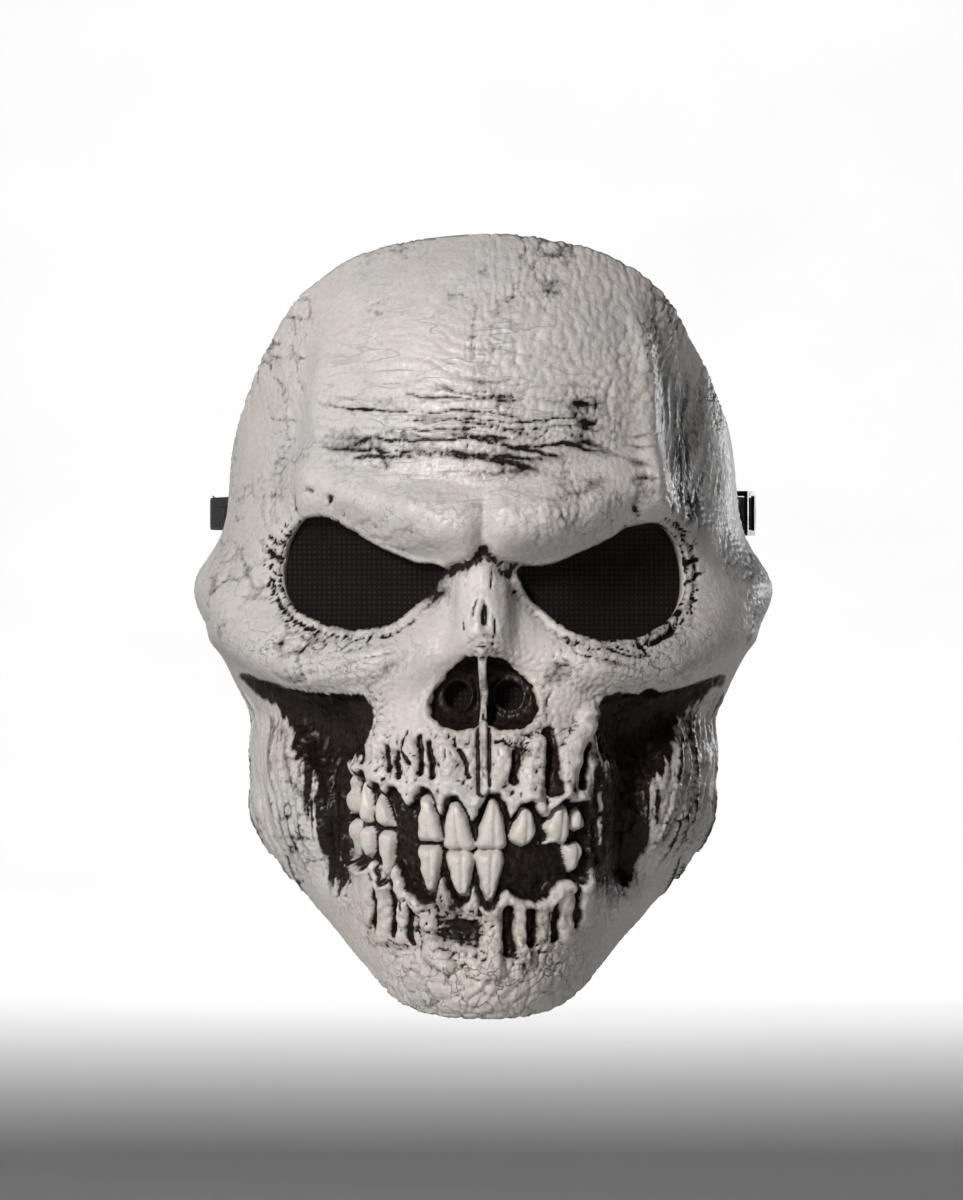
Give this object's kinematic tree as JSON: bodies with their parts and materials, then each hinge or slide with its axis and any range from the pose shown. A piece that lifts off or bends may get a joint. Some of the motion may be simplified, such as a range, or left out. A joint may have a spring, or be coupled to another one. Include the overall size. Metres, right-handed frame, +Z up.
{
  "type": "costume face mask",
  "caption": "Latex skull half-face mask with see-through black eye and nose panels and an adjustable black elastic head band",
  "frame": {"origin": "midway between the two temple pivots, where the wearer's head is", "axes": "+Z up, -Y the way the face looks, +X the right-hand side seen from the front"},
  "size_m": [0.177, 0.2245, 0.2327],
  "materials": {
    "latex": "painted bone-grey latex, satin, black wash in the hollows",
    "eye_fabric": "black see-through weave",
    "cloth": "plain cotton",
    "thread": "black polyester thread",
    "elastic": "black woven elastic",
    "black_plastic": "moulded acetal"
  },
  "bodies": {
    "mask": {"latex_shell": "latex", "left_eye_panel": "eye_fabric", "right_eye_panel": "eye_fabric", "nose_panel": "eye_fabric", "left_backing_patch": "cloth", "right_backing_patch": "cloth", "left_bar_tack": "thread", "right_bar_tack": "thread"},
    "band": {"head_band": "elastic", "band_return": "elastic", "ring_tab": "elastic", "ring": "black_plastic", "tab_stitches": "thread"},
    "slider": {"slider": "black_plastic", "band_end": "elastic", "end_stitches": "thread"}
  },
  "joints": [
    {"name": "band_swing", "type": "hinge", "parent": "mask", "child": "band", "pos_m": [0, 0, 0], "axis": [1, 0, 0], "range_deg": [-45, 80]},
    {"name": "slider_slide", "type": "slide", "parent": "band", "child": "slider", "axis": [0.2588, 0.9659, 0], "range_m": [-0.01, 0], "deforming": ["band_return"]}
  ]
}
